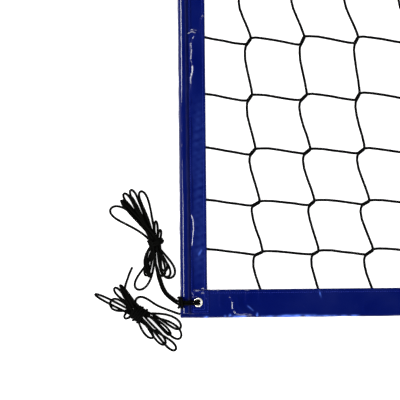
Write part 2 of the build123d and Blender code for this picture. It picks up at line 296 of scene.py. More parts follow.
def paint_sheen(mesh, values):
    """How much painted highlight the vinyl gets at each vertex, for its material."""
    layer = mesh.attributes.new("painted_sheen", "FLOAT", "POINT")
    layer.data.foreach_set("value", np.asarray(values, dtype=np.float32))


def spaced(*stretches):
    """Places along a line, as (end, step) stretches that start at nothing."""
    start, places = 0.0, []
    for end, step in stretches:
        count = max(1, round((end - start) / step))
        places.append(np.linspace(start, end, count, endpoint=False))
        start = end
    return np.append(np.concatenate(places), start)


def smooth_step(value, low, high):
    t = np.clip((value - low) / (high - low), 0, 1)
    return t * t * (3 - 2 * t)


def wave_noise(x, y, wavelength, seed):
    """Smooth repeatable unevenness between about -1 and 1."""
    total = np.zeros(np.broadcast(x, y).shape)
    generator = np.random.default_rng(seed)
    for _ in range(6):
        angle = generator.uniform(0, 2 * np.pi)
        scale = 2 * np.pi / (wavelength * generator.uniform(0.6, 1.7))
        phase = generator.uniform(0, 2 * np.pi)
        total += np.sin((x * math.cos(angle) + y * math.sin(angle)) * scale + phase)
    return total / 3.5


def ridge(x, y, route, height, width, skew=0.0):
    """A soft ridge along a route; a negative skew makes its low-x flank steep and the other gentle."""
    route = np.asarray(route)
    if route[-1, 1] < route[0, 1]:
        route = route[::-1]
    margin = 4 * width
    near = (x > route[:, 0].min() - margin) & (x < route[:, 0].max() + margin)
    near &= (y > route[:, 1].min() - margin) & (y < route[:, 1].max() + margin)
    lift = np.zeros(x.shape)
    px, py = x[near], y[near]
    best = np.full(px.shape, 1e9)
    signed = np.zeros(px.shape)
    fade = np.zeros(px.shape)
    steps = len(route) - 1
    for number in range(steps):
        (ax, ay), (bx, by) = route[number], route[number + 1]
        dx, dy = bx - ax, by - ay
        size = math.hypot(dx, dy)
        t = np.clip(((px - ax) * dx + (py - ay) * dy) / size**2, 0, 1)
        distance = np.hypot(px - ax - t * dx, py - ay - t * dy)
        nearer = distance < best
        best = np.where(nearer, distance, best)
        aside = np.clip((dx * (py - ay) - dy * (px - ax)) / (size * width), -1, 1)
        signed = np.where(nearer, aside, signed)
        fade = np.where(nearer, (number + t) / steps, fade)
    local = width * (1 + skew * signed)
    ends = np.sqrt(np.clip(9 * fade * (1 - fade), 0.1, 1))
    lift[near] = height * ends * np.exp(-((best / local) ** 2))
    return lift


# ---------------------------------------------------------------- camera, lights, floor

# How much of the floor the camera sees, and where, in corner coordinates.
VIEW_WIDTH = 0.736
VIEW_CENTRE = (0.0382, 0.2173)
VIEW_ROLL = math.radians(0.55)
LENS = 100.0
SENSOR = 36.0
FLOOR_HALF = 60.0
FLOOR_DROP = 0.0002


def make_camera():
    data = bpy.data.cameras.new("camera")
    data.lens = LENS
    data.sensor_width = SENSOR
    camera = add_object("camera", data)
    height = VIEW_WIDTH * LENS / SENSOR
    camera.location = at(*VIEW_CENTRE, height + BAND_TOP)
    camera.rotation_euler = (0.0, 0.0, -VIEW_ROLL)
    data.clip_start = 0.01
    data.clip_end = 200.0
    bpy.context.scene.camera = camera


def make_light(name, aim, tilt, heading, distance, size, radiance):
    """An area light: tilt from straight up, heading from +X turned towards +Y, in degrees."""
    data = bpy.data.lights.new(name, "AREA")
    data.shape = "RECTANGLE"
    data.size, data.size_y = size
    data.energy = radiance * math.pi * size[0] * size[1]
    light = add_object(name, data)
    t, h = math.radians(tilt), math.radians(heading)
    out = Vector((math.sin(t) * math.cos(h), math.sin(t) * math.sin(h), math.cos(t)))
    light.location = aim + out * distance
    light.rotation_euler = out.to_track_quat("Z", "Y").to_euler()


def make_lights():
    """Long strips for the streaks, and a fill as long as the net.

    The two left strips stand end to end, with a gap that the sleeve mirrors as a break in its streak.
    """
    aim = at(0.05, 0.25)
    make_light("left strip high", at(0.05, 1.05), 44.0, 180.0, 2.6, (0.84, 0.34), 48.0)
    make_light("left strip low", at(0.05, -0.21), 44.0, 180.0, 2.6, (1.14, 0.34), 46.0)
    make_light("right strip", aim, 60.0, 0.0, 2.8, (2.4, 0.16), 4.0)
    make_light("back strip", aim, 38.0, 104.0, 2.8, (1.2, 0.40), 30.0)
    make_light("front fill", at(LENGTH / 2, 0.30), 58.0, -90.0, 5.0, (12.0, 1.6), 9.0)
    make_light("corner strip", at(0.20, -0.23), 44.0, 222.0, 2.6, (0.6, 0.34), 42.0)


def make_world():
    """Grey all round the horizon, nearly black overhead."""
    world = bpy.data.worlds.new("studio")
    world.use_nodes = True
    coords = add_node(world, "ShaderNodeTexCoord")
    split = add_node(world, "ShaderNodeSeparateXYZ")
    link(world, coords, "Generated", split, "Vector")
    shade = ramp(world, split, "Z", [(0.02, grey(0.40)), (0.8, (0.03, 0.03, 0.035))])
    link(world, shade, "Color", world.node_tree.nodes["Background"], "Color")
    bpy.context.scene.world = world


def make_floor():
    signs = ((-1, -1), (1, -1), (1, 1), (-1, 1))
    corners = [(x * FLOOR_HALF, y * FLOOR_HALF, 0.0) for x, y in signs]
    mesh = mesh_from("floor", corners, [(0, 1, 2, 3)])
    mesh.materials.append(make_floor_material())
    floor = add_object("floor", mesh)
    floor.location.z = -FLOOR_DROP


# ---------------------------------------------------------------- wrinkles of the vinyl

# Each wrinkle: a route in corner coordinates, its width, its height over its width, and its skew.
# A wrinkle that leans left catches the soft light on its steep left flank as one bright streak.
LEAN_LEFT = -0.45
SIDE_WRINKLES = [
    ([(34, 522), (31, 513), (27, 504), (28, 494), (27, 477), (30, 464), (30, 453), (26, 440),
      (26, 428), (28, 408)], 6.2, 0.36, LEAN_LEFT),
    ([(14, 516), (20, 522), (27, 525), (37, 521)], 5.2, 0.40, 0.0),
    ([(48, 556), (43, 545)], 3.6, 0.31, LEAN_LEFT),
    ([(44, 546), (44, 526)], 3.8, 0.31, LEAN_LEFT),
    ([(43, 524), (49, 510)], 3.6, 0.31, LEAN_LEFT),
    ([(43, 168), (45, 152), (47, 134)], 3.8, 0.30, LEAN_LEFT),
    ([(46, 127), (46, 113)], 3.4, 0.31, LEAN_LEFT),
    ([(43, 80), (47, 58)], 3.6, 0.31, LEAN_LEFT),
    ([(23, 196), (28, 180), (29, 165), (27, 147), (25, 126)], 5.6, 0.36, LEAN_LEFT),
    ([(25, 395), (24, 370)], 4, 0.22, LEAN_LEFT),
    ([(42, 128), (34, 114), (28, 98)], 5, 0.12, 0.0),
    ([(30, 335), (33, 300), (31, 262)], 8.5, 0.12, 0.0),
]
CORNER_WRINKLES = [
    ([(24, 42), (33, 47), (41, 51), (50, 53)], 4.8, 0.42, 0.0),
    ([(40, 51), (49, 45)], 3.6, 0.40, 0.0),
    ([(23, 40), (28, 38), (32, 34)], 3.6, 0.40, 0.0),
    ([(46, 42), (50, 35)], 3, 0.34, LEAN_LEFT),
]
BOTTOM_WRINKLES = [
    ([(74, 53), (74, 40), (73, 29)], 3.8, 0.31, LEAN_LEFT),
    ([(74, 28), (74, 20)], 3.2, 0.32, LEAN_LEFT),
    ([(92, 44), (95, 37), (99, 30), (99, 18), (103, 11), (112, 7), (127, 2)], 5.6, 0.37, LEAN_LEFT),
    ([(104, 42), (107, 31), (107, 23), (113, 15), (123, 9), (133, 2)], 5.2, 0.37, LEAN_LEFT),
    ([(130, 53), (124, 47), (123, 38), (123, 28)], 5.6, 0.32, LEAN_LEFT),
    ([(146, 50), (146, 31)], 4, 0.31, LEAN_LEFT),
    ([(167, 54), (167, 43)], 3.6, 0.31, LEAN_LEFT),
    ([(124, 23), (136, 12)], 4, 0.20, 0.0),
    ([(258, 51), (261, 42), (262, 32)], 4, 0.20, LEAN_LEFT),
    ([(198, 48), (203, 30), (201, 14)], 6, 0.12, 0.0),
]

# Painted highlights where the folded lower edge and some wrinkles catch the light, and a faint painted
# reflection as a lighter stripe down the side band: route, width and strength.
BOTTOM_SHEEN_MARKS = [
    ([(43, 1.5), (50, 2)], 1.8, 1.0), ([(81, 2.5), (84, 3.5)], 1.4, 0.6),
    ([(90, 2.5), (93, 6)], 1.6, 0.9), ([(96, 1.8), (121, 2.2)], 1.8, 0.9),
    ([(141, 2), (142, 9)], 1.3, 0.7), ([(148, 1.8), (186, 2.2)], 1.4, 0.6),
    ([(184, 2.2), (250, 2.6)], 2, 0.9), ([(250, 2), (330, 2)], 1.2, 0.6),
    ([(124, 22), (134, 13)], 1.2, 0.3), ([(256, 50), (259, 36)], 1, 0.3),
]
SIDE_SHEEN_MARKS = [
    ([(41, 126), (34, 115)], 1.4, 0.5), ([(36, 70), (37, 240), (36, 400)], 11, 0.045),
]
SHEEN_MARKS = {"bottom": BOTTOM_SHEEN_MARKS, "left": SIDE_SHEEN_MARKS}


def chance_wrinkles(seed, start, stop, width, across_first):
    """Wrinkles scattered along a band that nobody has smoothed, the same ones each run."""
    generator = np.random.default_rng(seed)
    wrinkles = []
    place = start
    while place < stop:
        low = generator.uniform(0.1, 0.5) * width
        high = low + generator.uniform(0.25, 0.5) * width
        drift = generator.uniform(-0.009, 0.009)
        bow = generator.uniform(-0.004, 0.004)
        route = [(place, low), (place + drift / 2 + bow, (low + high) / 2), (place + drift, high)]
        if not across_first:
            middle = generator.uniform(0.5, 0.85) * width
            route = [(middle, place), (middle + bow, place + 0.016),
                     (middle + drift / 2, place + 0.034)]
        thick, steep = generator.uniform(0.0034, 0.0056), generator.uniform(0.2, 0.34)
        wrinkles.append((route, thick, steep, LEAN_LEFT))
        place += generator.uniform(0.030, 0.085)
    return wrinkles


def seen_wrinkles(listed):
    return [(metres(route), width / 1000, steep, skew) for route, width, steep, skew in listed]


WRINKLES = {
    "bottom": seen_wrinkles(CORNER_WRINKLES + BOTTOM_WRINKLES)
    + chance_wrinkles(11, 0.34, LENGTH - 0.02, BOTTOM_WIDTH, True),
    "top": chance_wrinkles(12, 0.03, LENGTH - 0.02, TOP_WIDTH, True),
    "left": seen_wrinkles(CORNER_WRINKLES + SIDE_WRINKLES)
    + chance_wrinkles(13, 0.60, 0.92, SIDE_WIDTH, False),
    "right": chance_wrinkles(14, 0.06, 0.92, SIDE_WIDTH, False),
}
NOISE_SEED = {"bottom": 21, "top": 22, "left": 23, "right": 24}


def relief(kind, x, y):
    """How far the top ply stands up at corner coordinates x, y of that band's own corner."""
    seed = NOISE_SEED[kind]
    lift = 0.00022 * wave_noise(x, y, 0.055, seed) + 0.00005 * wave_noise(x, y, 0.016, seed + 10)
    for route, width, steepness, skew in WRINKLES[kind]:
        lift += ridge(x, y, route, steepness * width, width, skew)
    return lift


# ---------------------------------------------------------------- bands

MIDDLE = BAND_TOP / 2
FOLD_END, FLAT_FROM = 0.0029, 0.0075
INNER_EDGE = 0.004
HITCH_Y = (0.0205, 0.0375)
HITCH_LIFT = 0.0035
EYELETS = {
    "low_left": (-1, -1, 0.033, 0.029), "low_right": (1, -1, 0.033, 0.029),
    "top_left": (-1, 1, 0.033, 0.035), "top_right": (1, 1, 0.033, 0.035),
}
HOLE_R = 0.0062
ACROSS_STEP = 0.0017


def clear_of_fold(u):
    """0 on a band's rounded fold, rising to 1 where its top ply lies flat."""
    return smooth_step(u, FOLD_END, FLAT_FROM)


def wrinkled_share(u, width):
    """How much of its wrinkles a band shows: none on the fold, less at the inner edge."""
    return clear_of_fold(u) * (1 - 0.6 * smooth_step(u, width - INNER_EDGE, width))


def band_grids(kind, along, width, lengthways):
    """Outer and inner skins of a strip folded double: top ply, fold, bottom ply."""
    top = np.linspace(width, MIDDLE, round((width - MIDDLE) / ACROSS_STEP))
    bottom = np.linspace(MIDDLE, width, 6)
    turn = np.linspace(0, np.pi, 9)[1:-1]
    grids = []
    for inset in (0.0, PLY):
        radius = MIDDLE - inset
        u = np.concatenate([top, MIDDLE - radius * np.sin(turn), bottom])
        z = np.concatenate([
            np.full(len(top), MIDDLE + radius), MIDDLE + radius * np.cos(turn),
            np.full(len(bottom), MIDDLE - radius),
        ])
        s, uu = np.meshgrid(along, u, indexing="ij")
        zz = np.broadcast_to(z, s.shape).copy()
        x, y = (s, uu) if lengthways else (uu, s)
        upper = np.broadcast_to(np.arange(len(u)) < len(top), s.shape)
        zz += np.where(upper, relief(kind, x, y) * wrinkled_share(uu, width), 0)
        waver = 0.00035 * wave_noise(s, 0 * s, 0.045, NOISE_SEED[kind] + 20)
        waver += 0.00012 * wave_noise(s, 0 * s, 0.011, NOISE_SEED[kind] + 30)
        shifted = uu + waver * (1 - smooth_step(uu, 0.004, 0.02))
        x, y = (s, shifted) if lengthways else (shifted, s)
        if kind == "bottom":
            zz += hitch_lift(x, y, upper)
        grids.append(np.stack([x, y, zz], axis=-1))
    return grids


def hitch_lift(x, y, upper):
    """The bottom ply is pushed up where the tie cord runs back under the corner to its eyelet."""
    run = 1 - smooth_step(x, 0.034, 0.042)
    sides = smooth_step(y, HITCH_Y[0] - 0.006, HITCH_Y[0] - 0.002)
    sides *= 1 - smooth_step(y, HITCH_Y[1] + 0.002, HITCH_Y[1] + 0.006)
    return np.where(upper, 0.0, HITCH_LIFT) * run * sides


def paint_sheen_marks(mesh, grids, sheen_marks):
    """Paint pale highlights on the outer skin of a band's top ply, where its edge and wrinkles catch
    the light.
    """
    flat = np.concatenate([grid.reshape(-1, 3) for grid in grids])
    values = np.zeros(len(flat))
    for route, width, strength in sheen_marks:
        pale = ridge(flat[:, 0], flat[:, 1], metres(route), strength, width / 1000)
        values = np.maximum(values, pale)
    values[len(flat) // 2:] = 0
    values[flat[:, 2] < MIDDLE] = 0
    broken = 0.55 + 0.45 * wave_noise(flat[:, 0], flat[:, 1], 0.012, 77)
    paint_sheen(mesh, values * np.clip(broken, 0, 1))


def cover_band(kind, grids, side, end, holes=()):
    """A folded skin over a CAD band, declared as the strip that it was cut from."""
    mesh = shell(kind + "_band_cover", *grids, side, end, holes=holes)
    paint_sheen_marks(mesh, grids, SHEEN_MARKS.get(kind, ()))
    band = finish_piece(kind + "_band_cover", mesh, VINYL, [kind + "_band"])


def make_long_band(kind, width, end, fine_end):
    along = spaced((fine_end, 0.0018), (LENGTH, 0.0135)) if fine_end else spaced((LENGTH, 0.0125))
    holes = [
        (x if side < 0 else LENGTH - x, y, HOLE_R)
        for side, hole_end, x, y in EYELETS.values() if hole_end == end
    ]
    cover_band(kind, band_grids(kind, along, width, True), -1, end, holes)


def make_side_band(kind, side, fine_end):
    low = BOTTOM_WIDTH
    high = HEIGHT - TOP_WIDTH
    along = spaced((fine_end, 0.002), (high - low, 0.008)) + low
    grids = band_grids(kind, along, SIDE_WIDTH, False)
    cover_band(kind, grids, side, -1)


# ---------------------------------------------------------------- sleeves

SLEEVE_R = 0.00904
SLEEVE_X = 0.0096
SLEEVE_Z = 0.00496
SLEEVE_START = 0.0068
SLEEVE_END = HEIGHT - 0.008
ARCH_START, ARCH_END = math.radians(3), math.radians(163)
SHOULDER = math.radians(68)
MOUTH_REACH, MOUTH_FADE = 0.0022, 0.008
# The flange that is sewn down inside the arch: steps away from its foot and heights above the band.
FLANGE = np.array([(0.0003, 0.0012), (0.0009, 0.0009), (0.0022, 0.0008), (0.0038, 0.0008),
                   (0.0056, 0.0006), (0.0068, 0.0001)])


def shoulder(s):
    """How sharp the sleeve's shoulder is along it: slack and broad near its ends, pinched between."""
    broad_low = 1 - smooth_step(s, 0.205, 0.235)
    broad_high = smooth_step(s, 0.395, 0.420)
    return 0.00034 - 0.00044 * broad_low - 0.00056 * broad_high


def sleeve_grids(kind, fine_end):
    """Outer and inner skins of the arched sleeve, feet on the band and a sewn flange inwards."""
    along = spaced((fine_end, 0.002), (SLEEVE_END - SLEEVE_START, 0.008)) + SLEEVE_START
    turn = np.linspace(ARCH_START, ARCH_END, 28)
    seed = NOISE_SEED[kind] + 40
    s, phi = np.meshgrid(along, turn, indexing="ij")
    radial = 0.00020 * wave_noise(s, 0.004 * phi, 0.060, seed)
    radial += 0.00005 * wave_noise(s, 0.006 * phi, 0.019, seed + 1)
    radial += 0.00004 * wave_noise(s, 0.006 * phi, 0.008, seed + 2)
    radial += shoulder(s) * np.exp(-(((phi - SHOULDER) / 0.27) ** 2))
    lean = 0.0010 * (1 - smooth_step(s, 0.205, 0.300))
    mouth = MOUTH_REACH * np.sin(phi) ** 2 * np.exp(-(s - SLEEVE_START) / MOUTH_FADE)
    grids = []
    for inset in (0.0, PLY):
        r = SLEEVE_R + radial - inset
        x = SLEEVE_X - r * np.cos(phi) + lean * np.sin(phi / 2)
        z = SLEEVE_Z + r * np.sin(phi)
        y = s + mouth
        rise = np.broadcast_to(FLANGE[:, 1], (len(along), len(FLANGE)))
        flange_x = x[:, -1:] + FLANGE[:, 0]
        flange_y = np.broadcast_to(y[:, -1:], rise.shape)
        flange_z = BAND_TOP + rise - np.minimum(inset, rise)
        grids.append(np.stack([
            np.concatenate([x, flange_x], axis=1), np.concatenate([y, flange_y], axis=1),
            np.concatenate([np.maximum(z, BAND_TOP - 0.0006), flange_z], axis=1),
        ], axis=-1))
    return grids


def make_sleeve(kind, side, fine_end):
    grids = sleeve_grids(kind, fine_end)
    mesh = shell(kind + "_sleeve_cover", *grids, side, -1)
    sleeve = finish_piece(kind + "_sleeve_cover", mesh, VINYL, [kind + "_sleeve"])


# ---------------------------------------------------------------- stitches

SIDE_SEAM_X = 0.0450
SLEEVE_SEAM_X = 0.0212
SEAM_INSET = 0.006
STITCH_WIDTH = 0.0008
STITCH_RISE = 0.0003
STITCH_WANDER = 0.00012
STITCH_SEED = 31


def stitch_block(places, directions, length):
    """Low rounded stitches: five corners round each of three stations and a tip at each end."""
    angle = np.radians([0, 60, 120, 180, 270])
    ring = np.stack([np.cos(angle), np.maximum(np.sin(angle), -0.3)], axis=-1)
    stations = (-0.38, 0.0, 0.38)
    swell = (0.75, 1.0, 0.75)
    count = len(ring)
    per = len(stations) * count + 2
    vertices, faces = [], []
    for number, (place, way) in enumerate(zip(places, directions)):
        across = (-way[1], way[0])
        for station, fat in zip(stations, swell):
            for c, h in ring:
                x = place[0] + way[0] * station * length + across[0] * c * fat * STITCH_WIDTH / 2
                y = place[1] + way[1] * station * length + across[1] * c * fat * STITCH_WIDTH / 2
                vertices.append((x, y, place[2] + h * fat * STITCH_RISE))
        for tip in (-0.5, 0.5):
            x = place[0] + way[0] * tip * length
            y = place[1] + way[1] * tip * length
            vertices.append((x, y, place[2] - 0.1 * STITCH_RISE))
        first = number * per
        last = first + 2 * count
        for k in range(count):
            k2 = (k + 1) % count
            for base in (first, first + count):
                faces.append((base + k, base + k2, base + count + k2, base + count + k))
            faces.append((first + k2, first + k, first + 3 * count))
            faces.append((last + k, last + k2, first + 3 * count + 1))
    return np.array(vertices), faces


def stitched_line(start, stop, pitch, wander, seed):
    """Stitch centres and directions from start to stop, not quite in line."""
    start, stop = np.array(start), np.array(stop)
    size = np.linalg.norm(stop - start)
    way = (stop - start) / size
    count = max(2, int(size / pitch))
    generator = np.random.default_rng(seed)
    along = (np.arange(count) + 0.5) * size / count
    places = start + way * along[:, None]
    places += np.array([-way[1], way[0]]) * generator.normal(0, wander, count)[:, None]
    tilt = generator.normal(0, 0.05, count)
    ways = np.stack([way[0] - way[1] * tilt, way[1] + way[0] * tilt], axis=-1)
    return places, ways


def make_stitches(name, lines, surface, side, end, replaced, pitch, length):
    """Rows of stitches along straight lines, lying on a surface that gives the height at x, y."""
    vertices, faces = [], []
    count = 0
    for number, (start, stop) in enumerate(lines):
        places, ways = stitched_line(start, stop, pitch, STITCH_WANDER, STITCH_SEED + number)
        level = surface(places[:, 0], places[:, 1])
        block, block_faces = stitch_block(np.column_stack([places, level]), ways, length)
        vertices.append(block)
        faces += [tuple(k + count for k in face) for face in block_faces]
        count += len(block)
    points = to_frame(np.concatenate(vertices), side, end)
    if side * end < 0:
        faces = [face[::-1] for face in faces]
    finish_piece(name, mesh_from(name, points, faces), THREAD, replaced)


def band_level(kind, width):
    """The height of a band's top ply, as a function of x and y."""
    def level(x, y):
        u = y if kind in ("bottom", "top") else x
        return BAND_TOP + relief(kind, x, y) * wrinkled_share(u, width)
    return level


def flange_level(x, _):
    """The height of the sleeve's sewn flange."""
    return np.full(np.shape(x), BAND_TOP + 0.0007)


def make_side_seams(kind, side):
    """The inner seam of a side band and the seam of its sleeve's flange."""
    line = [((SIDE_SEAM_X, BOTTOM_WIDTH), (SIDE_SEAM_X, HEIGHT - TOP_WIDTH))]
    make_stitches(kind + "_side_stitches", line, band_level(kind, SIDE_WIDTH), side, -1,
                  [kind + "_seam"], 0.0026, 0.0020)
    line = [((SLEEVE_SEAM_X, 0.012), (SLEEVE_SEAM_X, HEIGHT - 0.012))]
    make_stitches(kind + "_sleeve_stitches", line, flange_level, side, -1,
                  [kind + "_sleeve_seam"], 0.0030, 0.0023)


def make_long_seam(kind, width, end):
    """The seam along the inner edge of the bottom or top band."""
    line = [((0.003, width - SEAM_INSET), (LENGTH - 0.003, width - SEAM_INSET))]
    make_stitches(kind + "_stitches", line, band_level(kind, width), -1, end, [kind + "_seam"],
                  0.0040, 0.0030)


# ---------------------------------------------------------------- corner patches and eyelets

PATCH_X = (0.0222, 0.0540)
PATCH_LOW = 0.008
PATCH_SHY = 0.0004  # from the band's inner edge
FLANGE_R = 0.0084
BARREL_R = 0.0055
BORE_R = 0.0050


def patch_grid(kind, centre, high_y, inset):
    """A square of vinyl with a round hole, as rings from the hole out to its edges."""
    turn = np.linspace(0, 2 * np.pi, 96, endpoint=False)
    reach = np.concatenate([np.linspace(0, 0.94, 17), [0.97, 0.99, 1.0]])
    cx, cy = centre
    c, s = np.cos(turn), np.sin(turn)
    run_x = np.where(c > 0, PATCH_X[1] - cx, cx - PATCH_X[0])
    run_y = np.where(s > 0, high_y - cy, cy - PATCH_LOW)
    edge = np.minimum(run_x / np.maximum(np.abs(c), 1e-9), run_y / np.maximum(np.abs(s), 1e-9))
    r = BARREL_R + (edge - BARREL_R)[None, :] * reach[:, None]
    x, y = cx + r * c, cy + r * s
    flat = smooth_step(r, FLANGE_R, FLANGE_R + 0.004)
    z = BAND_TOP + PLY + relief(kind, x, y) * clear_of_fold(y) * flat - inset
    if inset == 0:
        z -= 0.0004 * (1 - np.sqrt(np.clip(1 - reach**8, 0, 1)))[:, None]
    return np.stack([x, y, z], axis=-1)


def make_patch(name, side, end, x, y):
    kind, width = ("bottom", BOTTOM_WIDTH) if end < 0 else ("top", TOP_WIDTH)
    high_y = width - PATCH_SHY
    grids = [patch_grid(kind, (x, y), high_y, inset) for inset in (0.0, PLY)]
    mesh = shell(name + "_patch_cover", *grids, side, end, wrap=True)
    paint_sheen(mesh, np.zeros(len(mesh.vertices)))
    patch = finish_piece(name + "_patch_cover", mesh, VINYL, ["patch_" + name])
    x0, x1, y0, y1 = PATCH_X[0] + 0.002, PATCH_X[1] - 0.003, PATCH_LOW + 0.0035, high_y - 0.003
    inner_x, inner_y = x1 - 0.0065, y0 + 0.0048
    lines = [
        ((x0, y0), (x1, y0)), ((x1, y0), (x1, y1)), ((x1, y1), (x0, y1)), ((x0, y1), (x0, y0)),
        ((x0, inner_y), (inner_x, inner_y)), ((inner_x, inner_y), (inner_x, y1)),
    ]

    def level(px, py):
        return BAND_TOP + PLY + relief(kind, px, py) * clear_of_fold(py)

    make_stitches(name + "_box_stitches", lines, level, side, end, ["box_seam_" + name], 0.0028, 0.0022)


def lathe(name, profile, centre, segments=72):
    """A ring turned from a closed profile of radius and height."""
    turn = np.linspace(0, 2 * np.pi, segments, endpoint=False)
    profile = np.array(profile)
    r, z = profile[:, 0], profile[:, 1]
    x = centre[0] + np.cos(turn)[:, None] * r[None, :]
    y = centre[1] + np.sin(turn)[:, None] * r[None, :]
    rings = np.stack([x, y, np.broadcast_to(z, x.shape)], axis=-1)
    index = np.arange(segments * len(r)).reshape(segments, len(r))
    ahead, right = np.roll(index, -1, axis=0), np.roll(index, -1, axis=1)
    both = np.roll(ahead, -1, axis=1)
    faces = np.stack([index, ahead, both, right], axis=-1).reshape(-1, 4)
    return mesh_from(name, rings.reshape(-1, 3), faces)


def rolled_rim(inner_r, outer_r, low, high, steps=9):
    """Half an ellipse from the bore's lip over to the flange's edge."""
    angle = np.linspace(np.pi, 0, steps)
    middle, half = (inner_r + outer_r) / 2, (outer_r - inner_r) / 2
    return [(middle + half * math.cos(a), low + (high - low) * math.sin(a)) for a in angle]


def make_eyelet(name, side, end, x, y):
    centre = at(x, y, 0, side, end)
    seat = BAND_TOP + PLY
    profile = rolled_rim(BORE_R, FLANGE_R, seat + 0.0002, seat + 0.0011)
    profile += [(FLANGE_R, seat), (BARREL_R, seat), (BARREL_R, 0.0006)]
    profile += [(0.0066, 0.0003), (0.0064, 0.00005), (0.0052, 0.0002), (BORE_R, 0.0009)]
    mesh = lathe(name + "_eyelet_ring", profile[::-1], centre)
    finish_piece(name + "_eyelet_ring", mesh, METAL, ["eyelet_" + name])


# ---------------------------------------------------------------- netting

COLUMNS, ROWS = 94, 9
FIRST_COLUMN, COLUMN_PITCH = 0.131, 0.099333
ROW_SWAY = (0.028, 0.021, 0.0145, 0.0065, 0.0005, -0.001, -0.018, -0.016, -0.011, -0.005, 0.0)
SWAY_PERIOD, SWAY_PEAK, EDGE_CALM = 24, 2, 0.3
MIDDLE_ROW, MIDDLE_ROW_Y = 5, 0.508
LOWER_PITCH, UPPER_PITCH, LOWER_SAG = 0.1062, 0.091, 0.00215
SELVAGE = 0.010
KNOT_LEAN = (0, 28, 34, 42, 53, 61, 52, 45, 42, 40)
KNOT_HALF = 0.0058
JOINT_ASIDE = 0.0010
PATH_STEPS = (0.0, 0.045, 0.1, 0.19, 0.34, 0.5, 0.66, 0.81, 0.9, 0.955, 1.0)
PULL = 0.030
DIVE = 0.03


def row_y(row):
    if row == 0:
        return BOTTOM_WIDTH - SELVAGE
    if row == ROWS + 1:
        return HEIGHT - TOP_WIDTH + SELVAGE
    step = row - MIDDLE_ROW
    if step > 0:
        return MIDDLE_ROW_Y + UPPER_PITCH * step
    return MIDDLE_ROW_Y + LOWER_PITCH * step + LOWER_SAG * step * step


def column_x(column, row):
    """Each row sways along the net, the end columns a little less than the others."""
    wave = math.cos(2 * math.pi * (column - SWAY_PEAK) / SWAY_PERIOD)
    sway = ROW_SWAY[row] * wave * (1 - EDGE_CALM / column**2)
    return FIRST_COLUMN + COLUMN_PITCH * (column - 1) + sway


def knot(column, row):
    """A knotless joint: its middle and the half vector that its two cords share."""
    lean = math.radians(KNOT_LEAN[row] + 7 * math.sin(2.3 * column + 1.7 * row))
    size = KNOT_HALF * (1 + 0.12 * math.sin(3.1 * column - 0.9 * row))
    middle = np.array([column_x(column, row), row_y(row)])
    return middle, size * np.array([math.cos(lean), math.sin(lean)])


def span(start, leave, stop, arrive, bulge, peak):
    """A slack run of twine between two joints, bowed sideways by bulge, most at peak."""
    t = np.array(PATH_STEPS)[:, None]
    h00, h10 = 2 * t**3 - 3 * t**2 + 1, t**3 - 2 * t**2 + t
    h01, h11 = -2 * t**3 + 3 * t**2, t**3 - t**2
    line = h00 * start + h10 * leave + h01 * stop + h11 * arrive
    way = stop - start
    side = np.array([-way[1], way[0]]) / np.linalg.norm(way)
    power = math.log(0.5) / math.log(peak)
    return line + side * bulge * np.sin(np.pi * t**power)


def slack_path(start, stop, leave, joints, side, onwards, bulges, peaks):
    """A cord from band to band, slack between its joints and passing each on one side."""
    places = []
    here, first_leave = start, leave
    for (middle, half), bulge in zip(joints, bulges):
        size = np.linalg.norm(half)
        aside = side * JOINT_ASIDE * np.array([-half[1], half[0]]) / size
        arrive = PULL * (0.75 * half / size + onwards)
        places.append(span(here, leave, middle - half + aside, arrive, bulge, peaks[0]))
        places.append((middle + aside)[None])
        here, leave = middle + half + aside, arrive
    places.append(span(here, leave, stop, first_leave, bulges[-1], peaks[1]))
    return np.concatenate(places)


def laid_down(flat, axis, seed, lift, low, high):
    """A cord's path with its small waver, over the netting and down into the band at either end."""
    place = flat[:, axis]
    flat[:, 1 - axis] += 0.00045 * wave_noise(place, 0 * place, 0.024, seed)
    free = smooth_step(place, low, low + DIVE) * (1 - smooth_step(place, high - DIVE, high))
    return np.column_stack([flat, NET_Z + lift * free])


def row_path(row):
    columns = range(1, COLUMNS + 1)
    flat = slack_path(
        np.array([SIDE_WIDTH - SELVAGE, row_y(row) + 0.010]),
        np.array([LENGTH - SIDE_WIDTH + SELVAGE, row_y(row) - 0.010]),
        np.array([PULL, -0.003]), [knot(column, row) for column in columns], 1, np.array([0.35, 0.0]),
        [0.0021 + 0.0011 * math.sin(1.3 * column + 2.1 * row) for column in columns] + [0.001],
        (0.5, 0.5))
    lift = 0.0009 + 0.0006 * np.sin(flat[:, 0] * 61 + row)
    return laid_down(flat, 0, 60 + row, lift, SIDE_WIDTH, LENGTH - SIDE_WIDTH)


def column_path(column):
    rows = range(1, ROWS + 1)
    flat = slack_path(
        np.array([column_x(column, 0), row_y(0)]),
        np.array([column_x(column, ROWS + 1), row_y(ROWS + 1)]),
        np.array([0.0, PULL]), [knot(column, row) for row in rows], -1, np.array([0.0, 0.35]),
        [0.0040 + 0.0014 * math.sin(1.9 * column + 1.1 * row) for row in rows] + [0.002],
        (0.66, 0.6))
    lift = 0.0005 * np.sin(flat[:, 1] * 57 + column) - 0.0003
    return laid_down(flat, 1, 80 + column, lift, BOTTOM_WIDTH, HEIGHT - TOP_WIDTH)


